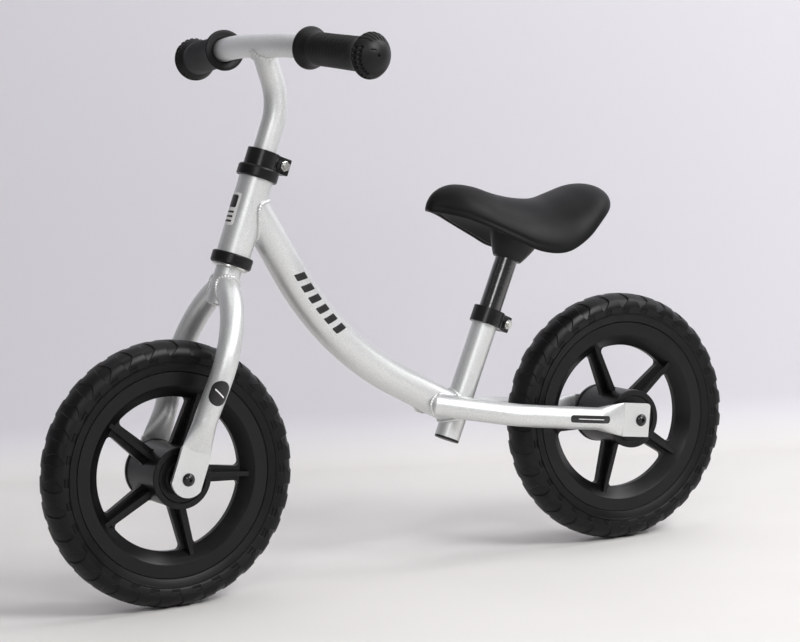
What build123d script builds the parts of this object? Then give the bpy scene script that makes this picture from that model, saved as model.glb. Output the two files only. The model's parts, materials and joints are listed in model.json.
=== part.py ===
from build123d import *
import os
from math import atan2, cos, radians, sin, tan

# A child's balance bike with two foam-tyred wheels. Millimetres, +X forward, +Y to the rider's left, +Z up.
# The origin is on the floor, halfway between the two axles.

os.makedirs("parts", exist_ok=True)

# ---------------------------------------------------------------- driving dimensions
WHEEL_RADIUS = 142.5
WHEELBASE = 570.0
HEAD_TILT = 21.7            # steering axis, leaning back from upright; it passes through the front axle
SEAT_TILT = 24.2            # seat tube, leaning back from upright
TUBE_WALL = 1.5

FORK_TUBE_R = 12.7          # fork blades, chainstays, handlebar and seat post are all 25.4 mm tube
STEERER_R = 14.3
HEAD_TUBE_R = 18.5
MAIN_TUBE_R = 18.0
SEAT_TUBE_R = 14.3
SLIDE_GAP = 0.08            # radial play of a tube that telescopes or turns in another

# heights along the steering axis, measured from the front axle
STEERER_BOTTOM = 187.0
CROWN_RACE_BOTTOM = 227.4
LOWER_BUSH_BOTTOM = 230.2
HEAD_TUBE_BOTTOM = 240.6
HEAD_TUBE_TOP = 330.0
UPPER_BUSH_TOP = 340.2
STEM_CLAMP_BOTTOM = 340.5
STEERER_TOP = 357.5
STEM_BOTTOM = 250.0

# heights along the seat tube axis, measured from the tube's lower end
SEAT_TUBE_FOOT = (-58.3, 0.0, 142.1)
SEAT_TUBE_TOP = 150.5
SEAT_CLAMP_BOTTOM = 134.5
SEAT_CLAMP_TURN = 15.0      # the seat clamp's ears point this far to the right of straight back
POST_BOTTOM = 72.0
POST_TOP = 238.0
SADDLE_BOSS_BOTTOM = 212.8

BUSH_RING_R = 22.5
CLAMP_R = 18.1
CLAMP_HEIGHT = 18.0
EAR_REACH = 30.5
EAR_BOLT_REACH = 22.5
EAR_Y = (1.5, 8.5)          # inner and outer face of each clamp ear

DROPOUT_Y = (49.0, 53.0)    # inner and outer face of each flattened tube end
DROPOUT_MID = sum(DROPOUT_Y) / 2
AXLE_R = 6.0
AXLE_BOLT_R = 3.0

RIM_HALF_WIDTH = 16.2
RIM_LIP_R = 109.5
RIM_HOLE_R = 82.5
TYRE_HALF_WIDTH = 21.5
HUB_DRUM_R = 32.6
HUB_HALF_WIDTH = 33.0
HUB_COVER_Y = (33.2, 37.8)
BEARING_R = (6.02, 8.0, 12.0, 14.0)      # bore, inner race, outer race, outside
BEARING_Y = (24.9, 32.9)
BALL_R = 1.95
BALL_PITCH_R = 10.0
BALL_COUNT = 8

CROSSBAR_CENTRE = (149.5, 0.0, 588.0)
GRIP_START = 103.0          # where a grip's flange stands, sideways from the middle
GRIP_LENGTH = 106.0         # from the flange to the rim of the end knob
KNOB_R = 24.2
KNOB_HEIGHT = 16.0

# ---------------------------------------------------------------- frames of reference
AXLE_HEIGHT = WHEEL_RADIUS
FRONT_AXLE = (WHEELBASE / 2, 0.0, AXLE_HEIGHT)
REAR_AXLE = (-WHEELBASE / 2, 0.0, AXLE_HEIGHT)


def leaning_plane(origin, tilt):
    """A plane whose normal leans back by tilt degrees, with its x direction forward and y to the left."""
    lean = radians(tilt)
    return Plane(origin=origin, x_dir=(cos(lean), 0, sin(lean)), z_dir=(-sin(lean), 0, cos(lean)))


def side_plane(origin, tilt):
    """The upright plane through a leaning axis: its x is forward and its y runs up the axis."""
    lean = radians(tilt)
    return Plane(origin=origin, x_dir=(cos(lean), 0, sin(lean)), z_dir=(0, -1, 0))


def axle_section(origin):
    """The plane across a wheel: its x is the distance sideways and its y is the radius."""
    return Plane(origin=origin, x_dir=(0, 1, 0), z_dir=(1, 0, 0))


def wheel_side(origin, y):
    """A plane facing left at a given distance sideways from a wheel's middle."""
    return Plane(origin=(origin[0], y, origin[2]), x_dir=(-1, 0, 0), z_dir=(0, 1, 0))


head = leaning_plane(FRONT_AXLE, HEAD_TILT)
seat = leaning_plane(SEAT_TUBE_FOOT, SEAT_TILT)
clamp_turn = radians(SEAT_CLAMP_TURN)
seat_clamp_frame = Plane(
    origin=seat.origin,
    x_dir=seat.x_dir * cos(clamp_turn) + seat.y_dir * sin(clamp_turn),
    z_dir=seat.z_dir,
)


# ---------------------------------------------------------------- shared helpers
def finish(piece, name):
    """Labels a finished piece and writes its STEP file."""
    piece.part.label = name
    export_step(piece.part, f"parts/{name}.step")


def sleeve(plane, low, high, outer, inner):
    """A plain ring or tube, from low to high along the plane's normal."""
    with BuildPart() as piece:
        with BuildSketch(plane.offset(low)):
            Circle(outer)
            Circle(inner, mode=Mode.SUBTRACT)
        extrude(amount=high - low)
    return piece


def both_sides(piece):
    """The piece together with its mirror image on the right of the bike."""
    with BuildPart() as pair:
        add(piece.part)
        mirror(piece.part, about=Plane.XZ)
    return pair


def mirrored(piece):
    """The mirror image of a piece on the right of the bike."""
    with BuildPart() as other:
        mirror(piece.part, about=Plane.XZ)
    return other


def swept_rod(path, radius):
    """A solid rod of the given radius along a path."""
    with BuildPart() as rod:
        with BuildSketch(Plane(path @ 0, z_dir=path % 0)):
            Circle(radius)
        sweep(path=path)
    return rod


# ---------------------------------------------------------------- frame tubes
MAIN_TUBE_TOP = (173.3, 0.0, 423.1)       # on the steering axis
MAIN_TUBE_BEND = (84.3, 0.0, 259.2)
MAIN_TUBE_FOOT = (-71.4, 0.0, 171.2)      # on the seat tube axis
MAIN_TUBE_BEND_R = 330.0

main_tube_path = FilletPolyline(MAIN_TUBE_TOP, MAIN_TUBE_BEND, MAIN_TUBE_FOOT, radius=MAIN_TUBE_BEND_R)
main_tube_core = swept_rod(main_tube_path, MAIN_TUBE_R)
main_tube_bore = swept_rod(main_tube_path, MAIN_TUBE_R - TUBE_WALL)

head_tube = sleeve(head, HEAD_TUBE_BOTTOM, HEAD_TUBE_TOP, HEAD_TUBE_R, HEAD_TUBE_R - 2)
finish(head_tube, "head_tube")

with BuildPart() as main_tube:
    add(main_tube_core.part)
    add(main_tube_bore.part, mode=Mode.SUBTRACT)
    with BuildSketch(head.offset(HEAD_TUBE_BOTTOM)):
        Circle(HEAD_TUBE_R)
    extrude(amount=HEAD_TUBE_TOP - HEAD_TUBE_BOTTOM, mode=Mode.SUBTRACT)
    with BuildSketch(seat):
        Circle(SEAT_TUBE_R)
    extrude(amount=SEAT_TUBE_TOP, mode=Mode.SUBTRACT)
finish(main_tube, "main_tube")

SEAT_SLOT_BOTTOM = 126.0
SLOT_WIDTH = 2.6

with BuildPart() as seat_tube:
    with BuildSketch(seat):
        Circle(SEAT_TUBE_R)
        Circle(FORK_TUBE_R + SLIDE_GAP, mode=Mode.SUBTRACT)
    extrude(amount=SEAT_TUBE_TOP)
    with BuildSketch(seat_clamp_frame.offset(SEAT_SLOT_BOTTOM)):
        with Locations((-SEAT_TUBE_R, 0)):
            Rectangle(SEAT_TUBE_R, SLOT_WIDTH)
    extrude(amount=SEAT_TUBE_TOP - SEAT_SLOT_BOTTOM, mode=Mode.SUBTRACT)
finish(seat_tube, "seat_tube")

PLUG_FLANGE = 2.6
PLUG_DEPTH = 12.0

with BuildPart() as seat_tube_plug:
    with BuildSketch(seat.offset(-PLUG_FLANGE)):
        Circle(SEAT_TUBE_R - 0.3)
    extrude(amount=PLUG_FLANGE)
    chamfer(seat_tube_plug.edges().group_by(Axis.Z)[0], length=0.8)
    with BuildSketch(seat):
        Circle(FORK_TUBE_R)
        Circle(FORK_TUBE_R - 2, mode=Mode.SUBTRACT)
    extrude(amount=PLUG_DEPTH)
finish(seat_tube_plug, "seat_tube_plug")

# ---------------------------------------------------------------- chainstays
STAY_SLOPE = 7.8                          # last stretch of a stay, falling to the rear
STAY_FLAT_HALF = 19.2                     # half the height of the flattened end
STAY_FLATTEN_FROM = 59.0                  # distances ahead of the rear axle
STAY_FLAT_FROM = 23.0
STAY_END = 11.5                           # behind the axle

stay_lean = radians(STAY_SLOPE)


def along_stay(distance, y):
    """A point on the last straight stretch of a stay, at a distance ahead of the rear axle."""
    return (REAR_AXLE[0] + distance * cos(stay_lean), y, AXLE_HEIGHT + distance * sin(stay_lean))


def stay_plane(distance):
    """The plane across the stay, facing backwards, with its x direction up."""
    return Plane(
        origin=along_stay(distance, DROPOUT_MID),
        x_dir=(-sin(stay_lean), 0, cos(stay_lean)),
        z_dir=(-cos(stay_lean), 0, -sin(stay_lean)),
    )


STAY_START = (-36.0, 14.0, 183.4)
STAY_BEND = (-125.0, 44.0, 164.6)
stay_path = FilletPolyline(
    STAY_START,
    STAY_BEND,
    along_stay(88.0, DROPOUT_MID),
    along_stay(STAY_FLATTEN_FROM, DROPOUT_MID),
    radius=[140.0, 140.0],
)

stay_heading = (Vector(*STAY_BEND) - Vector(*STAY_START)).normalized()

with BuildPart() as chainstay_left:
    add(swept_rod(stay_path, FORK_TUBE_R).part)
    add(swept_rod(stay_path, FORK_TUBE_R - TUBE_WALL).part, mode=Mode.SUBTRACT)
    with BuildSketch(Plane(origin=STAY_START, z_dir=stay_heading)):
        Circle(FORK_TUBE_R)
    extrude(amount=TUBE_WALL)
    with BuildSketch(stay_plane(STAY_FLATTEN_FROM)):
        Circle(FORK_TUBE_R)
    with BuildSketch(stay_plane((STAY_FLATTEN_FROM + STAY_FLAT_FROM) / 2)):
        Ellipse(FORK_TUBE_R + 3.6, 7.6)
    with BuildSketch(stay_plane(STAY_FLAT_FROM)):
        Ellipse(STAY_FLAT_HALF, (DROPOUT_Y[1] - DROPOUT_Y[0]) / 2)
    loft()
    with BuildSketch(Plane(origin=along_stay(0, DROPOUT_Y[0]),
                           x_dir=(cos(stay_lean), 0, sin(stay_lean)), z_dir=(0, 1, 0))):
        with Locations(((STAY_FLAT_FROM + 1 - STAY_END) / 2, 0)):
            Rectangle(STAY_FLAT_FROM + 1 + STAY_END, 2 * STAY_FLAT_HALF)
        Circle(AXLE_BOLT_R + 0.2, mode=Mode.SUBTRACT)
    extrude(amount=DROPOUT_Y[1] - DROPOUT_Y[0])
    fillet(chainstay_left.edges().filter_by(Axis.Y).group_by(Axis.X)[0], radius=4)
    add(main_tube_core.part, mode=Mode.SUBTRACT)
    with BuildSketch(seat):
        Circle(SEAT_TUBE_R)
    extrude(amount=SEAT_TUBE_TOP, mode=Mode.SUBTRACT)
finish(chainstay_left, "chainstay_left")
chainstay_right = mirrored(chainstay_left)
finish(chainstay_right, "chainstay_right")


# ---------------------------------------------------------------- headset bushes
def headset_bush(ring_outer_end, tube_end, direction):
    """A nylon bush: a ring over the end of the head tube and a sleeve inside it."""
    bore = STEERER_R + SLIDE_GAP
    skirt_end = tube_end + 2.3 * direction
    sleeve_end = tube_end + 13.0 * direction
    with BuildPart() as bush:
        with BuildSketch(side_plane(FRONT_AXLE, HEAD_TILT)):
            with BuildLine():
                Polyline(
                    (bore, ring_outer_end),
                    (BUSH_RING_R - 1.4, ring_outer_end),
                    (BUSH_RING_R, ring_outer_end + 1.8 * direction),
                    (BUSH_RING_R, skirt_end - 1.2 * direction),
                    (BUSH_RING_R - 1.2, skirt_end),
                    (HEAD_TUBE_R + 0.1, skirt_end),
                    (HEAD_TUBE_R + 0.1, tube_end),
                    (HEAD_TUBE_R - 2.05, tube_end),
                    (HEAD_TUBE_R - 2.05, sleeve_end),
                    (bore, sleeve_end),
                    close=True,
                )
            make_face()
        revolve(axis=Axis(FRONT_AXLE, head.z_dir))
    return bush


finish(headset_bush(LOWER_BUSH_BOTTOM, HEAD_TUBE_BOTTOM, 1), "lower_headset_bush")
finish(headset_bush(UPPER_BUSH_TOP, HEAD_TUBE_TOP, -1), "upper_headset_bush")


# ---------------------------------------------------------------- pinch clamps
NUT_ACROSS_FLATS = 10.0
NUT_THICKNESS = 5.5
CLAMP_BOLT_R = 3.0
CLAMP_BOLT_HEAD_R = 5.0
CLAMP_BOLT_HEAD_HEIGHT = 5.0
CLAMP_BOLT_TAIL = 2.5


def pinch_clamp(plane, name):
    """A split collar with two ears behind it, its socket-head bolt and its nut."""
    middle = plane.offset(CLAMP_HEIGHT / 2)
    bolt_plane = Plane(
        origin=middle.from_local_coords((-EAR_BOLT_REACH, 0, 0)), x_dir=middle.z_dir, z_dir=middle.y_dir
    )
    with BuildPart() as collar:
        with BuildSketch(plane):
            Circle(CLAMP_R)
            with Locations((-EAR_REACH / 2, 0)):
                Rectangle(EAR_REACH, 2 * EAR_Y[1])
            Circle(STEERER_R + 0.05, mode=Mode.SUBTRACT)
            with Locations((-EAR_REACH / 2 - 5, 0)):
                Rectangle(EAR_REACH, 2 * EAR_Y[0], mode=Mode.SUBTRACT)
        extrude(amount=CLAMP_HEIGHT)
        fillet(collar.edges().filter_by(lambda e: abs(e.length - (EAR_Y[1] - EAR_Y[0])) < 0.01
                                        and abs((e % 0.5).dot(plane.y_dir)) > 0.99), radius=1.2)
        with BuildSketch(bolt_plane.offset(-EAR_Y[1] - 1)):
            Circle(CLAMP_BOLT_R + 0.15)
        extrude(amount=2 * EAR_Y[1] + 2, mode=Mode.SUBTRACT)
    finish(collar, f"{name}_collar")

    with BuildPart() as bolt:
        with BuildSketch(bolt_plane.offset(-EAR_Y[1] - CLAMP_BOLT_HEAD_HEIGHT)):
            Circle(CLAMP_BOLT_HEAD_R)
            RegularPolygon(radius=2.5, side_count=6, major_radius=False, mode=Mode.SUBTRACT)
        extrude(amount=CLAMP_BOLT_HEAD_HEIGHT - 2)
        with BuildSketch(bolt_plane.offset(-EAR_Y[1] - 2)):
            Circle(CLAMP_BOLT_HEAD_R)
        extrude(amount=2)
        with BuildSketch(bolt_plane.offset(-EAR_Y[1])):
            Circle(CLAMP_BOLT_R)
        extrude(amount=2 * EAR_Y[1] + NUT_THICKNESS + CLAMP_BOLT_TAIL)
    finish(bolt, f"{name}_bolt")

    with BuildPart() as nut:
        with BuildSketch(bolt_plane.offset(EAR_Y[1])):
            RegularPolygon(radius=NUT_ACROSS_FLATS / 2, side_count=6, major_radius=False)
            Circle(CLAMP_BOLT_R, mode=Mode.SUBTRACT)
        extrude(amount=NUT_THICKNESS)
    finish(nut, f"{name}_nut")


pinch_clamp(seat_clamp_frame.offset(SEAT_CLAMP_BOTTOM), "seat_clamp")
pinch_clamp(head.offset(STEM_CLAMP_BOTTOM), "stem_clamp")

# ---------------------------------------------------------------- fork
with BuildPart() as steerer_tube:
    with BuildSketch(head.offset(STEERER_BOTTOM)):
        Circle(STEERER_R)
        Circle(FORK_TUBE_R + SLIDE_GAP, mode=Mode.SUBTRACT)
    extrude(amount=STEERER_TOP - STEERER_BOTTOM)
    with BuildSketch(head.offset(STEM_CLAMP_BOTTOM - 6)):
        with Locations((-STEERER_R, 0)):
            Rectangle(STEERER_R, SLOT_WIDTH)
    extrude(amount=STEERER_TOP - STEM_CLAMP_BOTTOM + 6, mode=Mode.SUBTRACT)
finish(steerer_tube, "steerer_tube")

with BuildPart() as crown_race:
    with BuildSketch(side_plane(FRONT_AXLE, HEAD_TILT)):
        with BuildLine():
            Polyline(
                (STEERER_R + 0.02, CROWN_RACE_BOTTOM),
                (STEERER_R + 3.4, CROWN_RACE_BOTTOM),
                (STEERER_R + 5.2, CROWN_RACE_BOTTOM + 1.0),
                (STEERER_R + 5.2, LOWER_BUSH_BOTTOM - 0.15),
                (STEERER_R + 0.02, LOWER_BUSH_BOTTOM - 0.15),
                close=True,
            )
        make_face()
    revolve(axis=Axis(FRONT_AXLE, head.z_dir))
finish(crown_race, "crown_race")

BLADE_FLAT_HALF = 17.3
BLADE_FLATTEN_FROM = 60.0                 # distances up the steering axis from the front axle
BLADE_FLAT_FROM = 30.0
BLADE_END_R = 19.3


def blade_plane(height):
    """The plane across a fork blade, facing down, with its x direction forward."""
    return Plane(
        origin=head.from_local_coords((0, DROPOUT_MID, height)), x_dir=head.x_dir, z_dir=head.z_dir * -1
    )


blade_path = FilletPolyline(
    head.from_local_coords((0, 0.5, 213.2)),
    head.from_local_coords((0, 66.4, 163.5)),
    head.from_local_coords((0, DROPOUT_MID, 68.0)),
    head.from_local_coords((0, DROPOUT_MID, BLADE_FLATTEN_FROM)),
    radius=[100.0, 60.0],
)

with BuildPart() as fork_blade_left:
    add(swept_rod(blade_path, FORK_TUBE_R).part)
    add(swept_rod(blade_path, FORK_TUBE_R - TUBE_WALL).part, mode=Mode.SUBTRACT)
    with BuildSketch(blade_plane(BLADE_FLATTEN_FROM)):
        Circle(FORK_TUBE_R)
    with BuildSketch(blade_plane((BLADE_FLATTEN_FROM + BLADE_FLAT_FROM) / 2)):
        Ellipse(FORK_TUBE_R + 2.4, 8.0)
    with BuildSketch(blade_plane(BLADE_FLAT_FROM)):
        Ellipse(BLADE_FLAT_HALF, (DROPOUT_Y[1] - DROPOUT_Y[0]) / 2)
    loft()
    with BuildSketch(Plane(origin=head.from_local_coords((0, DROPOUT_Y[0], 0)),
                           x_dir=head.z_dir, z_dir=(0, 1, 0))):
        Circle(BLADE_END_R)
        with Locations(((BLADE_FLAT_FROM + 1) / 2, 0)):
            Rectangle(BLADE_FLAT_FROM + 1, 2 * BLADE_FLAT_HALF)
        Rectangle(2 * BLADE_FLAT_FROM + 2, 2 * BLADE_FLAT_HALF, mode=Mode.INTERSECT)
        Circle(AXLE_BOLT_R + 0.2, mode=Mode.SUBTRACT)
    extrude(amount=DROPOUT_Y[1] - DROPOUT_Y[0])
    with BuildSketch(head.offset(STEERER_BOTTOM - 25)):
        Circle(STEERER_R)
    extrude(amount=80, mode=Mode.SUBTRACT)
finish(fork_blade_left, "fork_blade_left")
fork_blade_right = mirrored(fork_blade_left)
finish(fork_blade_right, "fork_blade_right")


# ---------------------------------------------------------------- wheels
HUB_BOSS_R = 17.5
DRUM_WALL = 3.6
SPOKE_COUNT = 5
SPOKE_HALF_WIDTH = (9.5, 7.6)             # at the hub and at the rim
SPOKE_THICKNESS = 7.0
WINDOW_CORNER_R = 5.0
RIB_WIDTH = 5.0
RIB_HALF_DEPTH = (15.0, 11.0)             # at the hub and at the rim


def tyre(origin):
    """The foam tyre: a tread with sloping shoulders, and a foot held between the rim's lips."""
    half_profile = [
        (TYRE_HALF_WIDTH - 7.0, 139.6),
        (TYRE_HALF_WIDTH - 1.8, 134.0),
        (TYRE_HALF_WIDTH, 127.5),
        (TYRE_HALF_WIDTH - 0.8, 121.0),
        (TYRE_HALF_WIDTH - 2.4, 119.5),
        (RIM_HALF_WIDTH + 0.2, RIM_LIP_R + 0.2),
        (RIM_HALF_WIDTH - 3.6, RIM_LIP_R + 0.2),
        (RIM_HALF_WIDTH - 4.6, RIM_LIP_R - 8.4),
    ]
    crown = (6.5, WHEEL_RADIUS)
    with BuildPart() as piece:
        with BuildSketch(axle_section(origin)):
            with BuildLine():
                Polyline(crown, *half_profile, (0, RIM_LIP_R - 8.4))
                Line((0, RIM_LIP_R - 8.4), (0, WHEEL_RADIUS))
                Line((0, WHEEL_RADIUS), crown)
            make_face()
            mirror(about=Plane.YZ)
        revolve(axis=Axis(origin, (0, 1, 0)))
    return piece


def spoke_edge(reach, side):
    """A point on the edge of a spoke beside a window, at a distance out along the spoke."""
    half_pitch = radians(180 / SPOKE_COUNT)
    taper = (SPOKE_HALF_WIDTH[0] - SPOKE_HALF_WIDTH[1]) / (RIM_HOLE_R - HUB_DRUM_R)
    half_width = SPOKE_HALF_WIDTH[0] - taper * (reach - HUB_DRUM_R)
    across = reach * sin(half_pitch) - half_width * cos(half_pitch)
    return (reach * cos(half_pitch) + half_width * sin(half_pitch), side * across)


def spoke_window():
    """The outline of one opening between two spokes, with rounded corners, centred on the x direction."""
    inside_hub = HUB_DRUM_R - 12
    outside_rim = RIM_HOLE_R + 38
    with BuildSketch() as window:
        Circle(RIM_HOLE_R + 0.2)
        Circle(HUB_DRUM_R - 0.5, mode=Mode.SUBTRACT)
        with BuildLine():
            Polyline(
                spoke_edge(inside_hub, 1),
                spoke_edge(outside_rim, 1),
                spoke_edge(outside_rim, -1),
                spoke_edge(inside_hub, -1),
                close=True,
            )
        make_face(mode=Mode.INTERSECT)
        fillet(window.vertices(), radius=WINDOW_CORNER_R)
    return window


def wheel_moulding(origin, first_spoke):
    """Rim, five ribbed spokes and hub drum, moulded in one piece of nylon."""
    rim_half = [
        (0, RIM_HOLE_R),
        (3.0, RIM_HOLE_R),
        (5.0, RIM_HOLE_R + 2.0),
        (RIM_HALF_WIDTH - 2.2, RIM_LIP_R - 16.5),
        (RIM_HALF_WIDTH, RIM_LIP_R - 14.0),
        (RIM_HALF_WIDTH, RIM_LIP_R),
        (RIM_HALF_WIDTH - 3.5, RIM_LIP_R),
        (RIM_HALF_WIDTH - 4.5, RIM_LIP_R - 8.5),
        (0, RIM_LIP_R - 8.5),
    ]
    spoke_reach = RIM_HOLE_R + 3.0
    with BuildPart() as piece:
        with BuildSketch(axle_section(origin)):
            with BuildLine():
                Polyline(*rim_half, close=True)
            make_face()
            mirror(about=Plane.YZ)
        revolve(axis=Axis(origin, (0, 1, 0)))
        with BuildSketch(wheel_side(origin, -HUB_HALF_WIDTH)):
            Circle(HUB_DRUM_R)
            Circle(HUB_DRUM_R - DRUM_WALL, mode=Mode.SUBTRACT)
            Circle(HUB_BOSS_R)
            with PolarLocations(HUB_BOSS_R + 5.5, SPOKE_COUNT, start_angle=first_spoke):
                Rectangle(14, 3)
            Circle(BEARING_R[3] - 2, mode=Mode.SUBTRACT)
        extrude(amount=2 * HUB_HALF_WIDTH)
        with BuildSketch(wheel_side(origin, -SPOKE_THICKNESS / 2)) as web:
            Circle(RIM_HOLE_R + 6)
            for number in range(SPOKE_COUNT):
                turn = first_spoke + 360 / SPOKE_COUNT * (number + 0.5)
                add(spoke_window().sketch, rotation=turn, mode=Mode.SUBTRACT)
            Circle(BEARING_R[3] - 2, mode=Mode.SUBTRACT)
        extrude(amount=SPOKE_THICKNESS)
        for number in range(SPOKE_COUNT):
            turn = radians(first_spoke + 360 / SPOKE_COUNT * number)
            out = (-cos(turn), 0, sin(turn))
            across = Plane(origin=origin, x_dir=out, z_dir=(sin(turn), 0, cos(turn)))
            with BuildSketch(across.offset(-RIB_WIDTH / 2)):
                with BuildLine():
                    Polyline(
                        (HUB_DRUM_R - 2, RIB_HALF_DEPTH[0]),
                        (spoke_reach + 6, RIB_HALF_DEPTH[1]),
                        (spoke_reach + 6, -RIB_HALF_DEPTH[1]),
                        (HUB_DRUM_R - 2, -RIB_HALF_DEPTH[0]),
                        close=True,
                    )
                make_face()
            extrude(amount=RIB_WIDTH)
        for side in (-1, 1):
            with BuildSketch(wheel_side(origin, side * BEARING_Y[0])):
                Circle(BEARING_R[3] + 0.02)
            extrude(amount=side * (HUB_HALF_WIDTH - BEARING_Y[0] + 1), mode=Mode.SUBTRACT)
    return piece


def hub_cover(origin):
    """One dished cap over the end of the hub drum."""
    with BuildPart() as piece:
        with BuildSketch(axle_section(origin)):
            with BuildLine():
                Polyline(
                    (HUB_COVER_Y[0], BEARING_R[3] + 0.6),
                    (HUB_COVER_Y[1], BEARING_R[3] + 0.6),
                    (HUB_COVER_Y[1], BEARING_R[3] + 3.0),
                    (HUB_COVER_Y[1] - 1.8, BEARING_R[3] + 4.0),
                    (HUB_COVER_Y[1] - 1.8, HUB_DRUM_R - 6.5),
                    (HUB_COVER_Y[1], HUB_DRUM_R - 5.5),
                    (HUB_COVER_Y[1], HUB_DRUM_R + 0.2),
                    (HUB_COVER_Y[1] - 0.8, HUB_DRUM_R + 0.9),
                    (HUB_COVER_Y[0], HUB_DRUM_R + 0.9),
                    close=True,
                )
            make_face()
        revolve(axis=Axis(origin, (0, 1, 0)))
    return piece


def bearing_ring(origin, outer, inner, low, high):
    """One ring of a ball bearing on the left of a wheel."""
    return sleeve(wheel_side(origin, 0), low, high, outer, inner)


def bearing_balls(origin):
    """The balls of one bearing."""
    with BuildPart() as piece:
        middle = sum(BEARING_Y) / 2
        for number in range(BALL_COUNT):
            turn = radians(360 / BALL_COUNT * number)
            place = (origin[0] + BALL_PITCH_R * cos(turn), middle, origin[2] + BALL_PITCH_R * sin(turn))
            with Locations(place):
                Sphere(BALL_R)
    return piece


def bearing_seals(origin):
    """The two thin seals that close one bearing."""
    with BuildPart() as piece:
        for low in (BEARING_Y[0] + 0.4, BEARING_Y[1] - 1.2):
            with BuildSketch(wheel_side(origin, low)):
                Circle(BEARING_R[2])
                Circle(BEARING_R[1] + 0.1, mode=Mode.SUBTRACT)
            extrude(amount=0.8)
    return piece


def axle(origin):
    """The axle spindle, tapped at both ends."""
    with BuildPart() as piece:
        with BuildSketch(wheel_side(origin, -DROPOUT_Y[0])):
            Circle(AXLE_R)
        extrude(amount=2 * DROPOUT_Y[0])
        for side in (-1, 1):
            with BuildSketch(wheel_side(origin, side * (DROPOUT_Y[0] - 20))):
                Circle(AXLE_BOLT_R)
            extrude(amount=side * 20, mode=Mode.SUBTRACT)
    return piece


def axle_spacers(origin):
    """The sleeve between the bearings, and one between each bearing and its dropout."""
    gap = 0.02
    with BuildPart() as piece:
        for low, high in (
            (-BEARING_Y[0] + gap, BEARING_Y[0] - gap),
            (BEARING_Y[1] + gap, DROPOUT_Y[0]),
            (-DROPOUT_Y[0], -BEARING_Y[1] - gap),
        ):
            with BuildSketch(wheel_side(origin, low)):
                Circle(BEARING_R[1] - 0.2)
                Circle(AXLE_R, mode=Mode.SUBTRACT)
            extrude(amount=high - low)
    return piece


def axle_bolt(origin):
    """One button-head socket bolt, with its head against the outside of the left dropout."""
    head_r = 7.0
    head_height = 3.8
    with BuildPart() as piece:
        with BuildSketch(axle_section(origin)):
            with BuildLine():
                Line((DROPOUT_Y[0] - 18, 0), (DROPOUT_Y[0] - 18, AXLE_BOLT_R - 0.05))
                Line((DROPOUT_Y[0] - 18, AXLE_BOLT_R - 0.05), (DROPOUT_Y[1], AXLE_BOLT_R - 0.05))
                Line((DROPOUT_Y[1], AXLE_BOLT_R - 0.05), (DROPOUT_Y[1], head_r))
                Line((DROPOUT_Y[1], head_r), (DROPOUT_Y[1] + 0.6, head_r))
                ThreePointArc(
                    (DROPOUT_Y[1] + 0.6, head_r),
                    (DROPOUT_Y[1] + 2.7, head_r - 2.2),
                    (DROPOUT_Y[1] + head_height, head_r - 4),
                )
                Line((DROPOUT_Y[1] + head_height, head_r - 4), (DROPOUT_Y[1] + head_height, 0))
                Line((DROPOUT_Y[1] + head_height, 0), (DROPOUT_Y[0] - 18, 0))
            make_face()
        revolve(axis=Axis(origin, (0, 1, 0)))
        with BuildSketch(wheel_side(origin, DROPOUT_Y[1] + head_height - 2.4)):
            RegularPolygon(radius=2.0, side_count=6, major_radius=False)
        extrude(amount=3, mode=Mode.SUBTRACT)
    return piece


for end, origin, first_spoke in (("front", FRONT_AXLE, -6.0), ("rear", REAR_AXLE, 37.5)):
    finish(tyre(origin), f"{end}_tyre")
    finish(wheel_moulding(origin, first_spoke), f"{end}_wheel_moulding")
    finish(both_sides(hub_cover(origin)), f"{end}_hub_covers")
    outer_race = bearing_ring(origin, BEARING_R[3], BEARING_R[2], *BEARING_Y)
    inner_race = bearing_ring(origin, BEARING_R[1], BEARING_R[0], *BEARING_Y)
    finish(both_sides(outer_race), f"{end}_bearing_outer_races")
    finish(both_sides(inner_race), f"{end}_bearing_inner_races")
    finish(both_sides(bearing_balls(origin)), f"{end}_bearing_balls")
    finish(both_sides(bearing_seals(origin)), f"{end}_bearing_seals")
    finish(axle(origin), f"{end}_axle")
    finish(axle_spacers(origin), f"{end}_axle_spacers")
    finish(both_sides(axle_bolt(origin)), f"{end}_axle_bolts")

# ---------------------------------------------------------------- handlebar
SWEEP_ANGLE = 8.8                         # each end of the crossbar turns back and down
SWEEP_DROP = 36.0                         # direction of that turn, below straight back
SWEEP_START = 62.0
STEM_BEND = head.from_local_coords((0, 0, 413.3))
STEM_BEND_R = 75.0

sweep_way = Vector(-cos(radians(SWEEP_DROP)), 0, -sin(radians(SWEEP_DROP)))


def on_bar(y):
    """A point on the centre line of the crossbar's straight end, at a distance sideways."""
    return Vector(*CROSSBAR_CENTRE) + Vector(0, y, 0) + sweep_way * (y - SWEEP_START) * tan(radians(SWEEP_ANGLE))


BAR_END = GRIP_START + 100.0
bar_end_left = on_bar(BAR_END)
bar_bend_left = Vector(*CROSSBAR_CENTRE) + Vector(0, SWEEP_START, 0)
crossbar_path = FilletPolyline(
    bar_end_left,
    bar_bend_left,
    Vector(bar_bend_left.X, -bar_bend_left.Y, bar_bend_left.Z),
    Vector(bar_end_left.X, -bar_end_left.Y, bar_end_left.Z),
    radius=350.0,
)
crossbar_core = swept_rod(crossbar_path, FORK_TUBE_R)

with BuildPart() as handlebar_crossbar:
    add(crossbar_core.part)
    add(swept_rod(crossbar_path, FORK_TUBE_R - TUBE_WALL).part, mode=Mode.SUBTRACT)
finish(handlebar_crossbar, "handlebar_crossbar")

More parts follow.
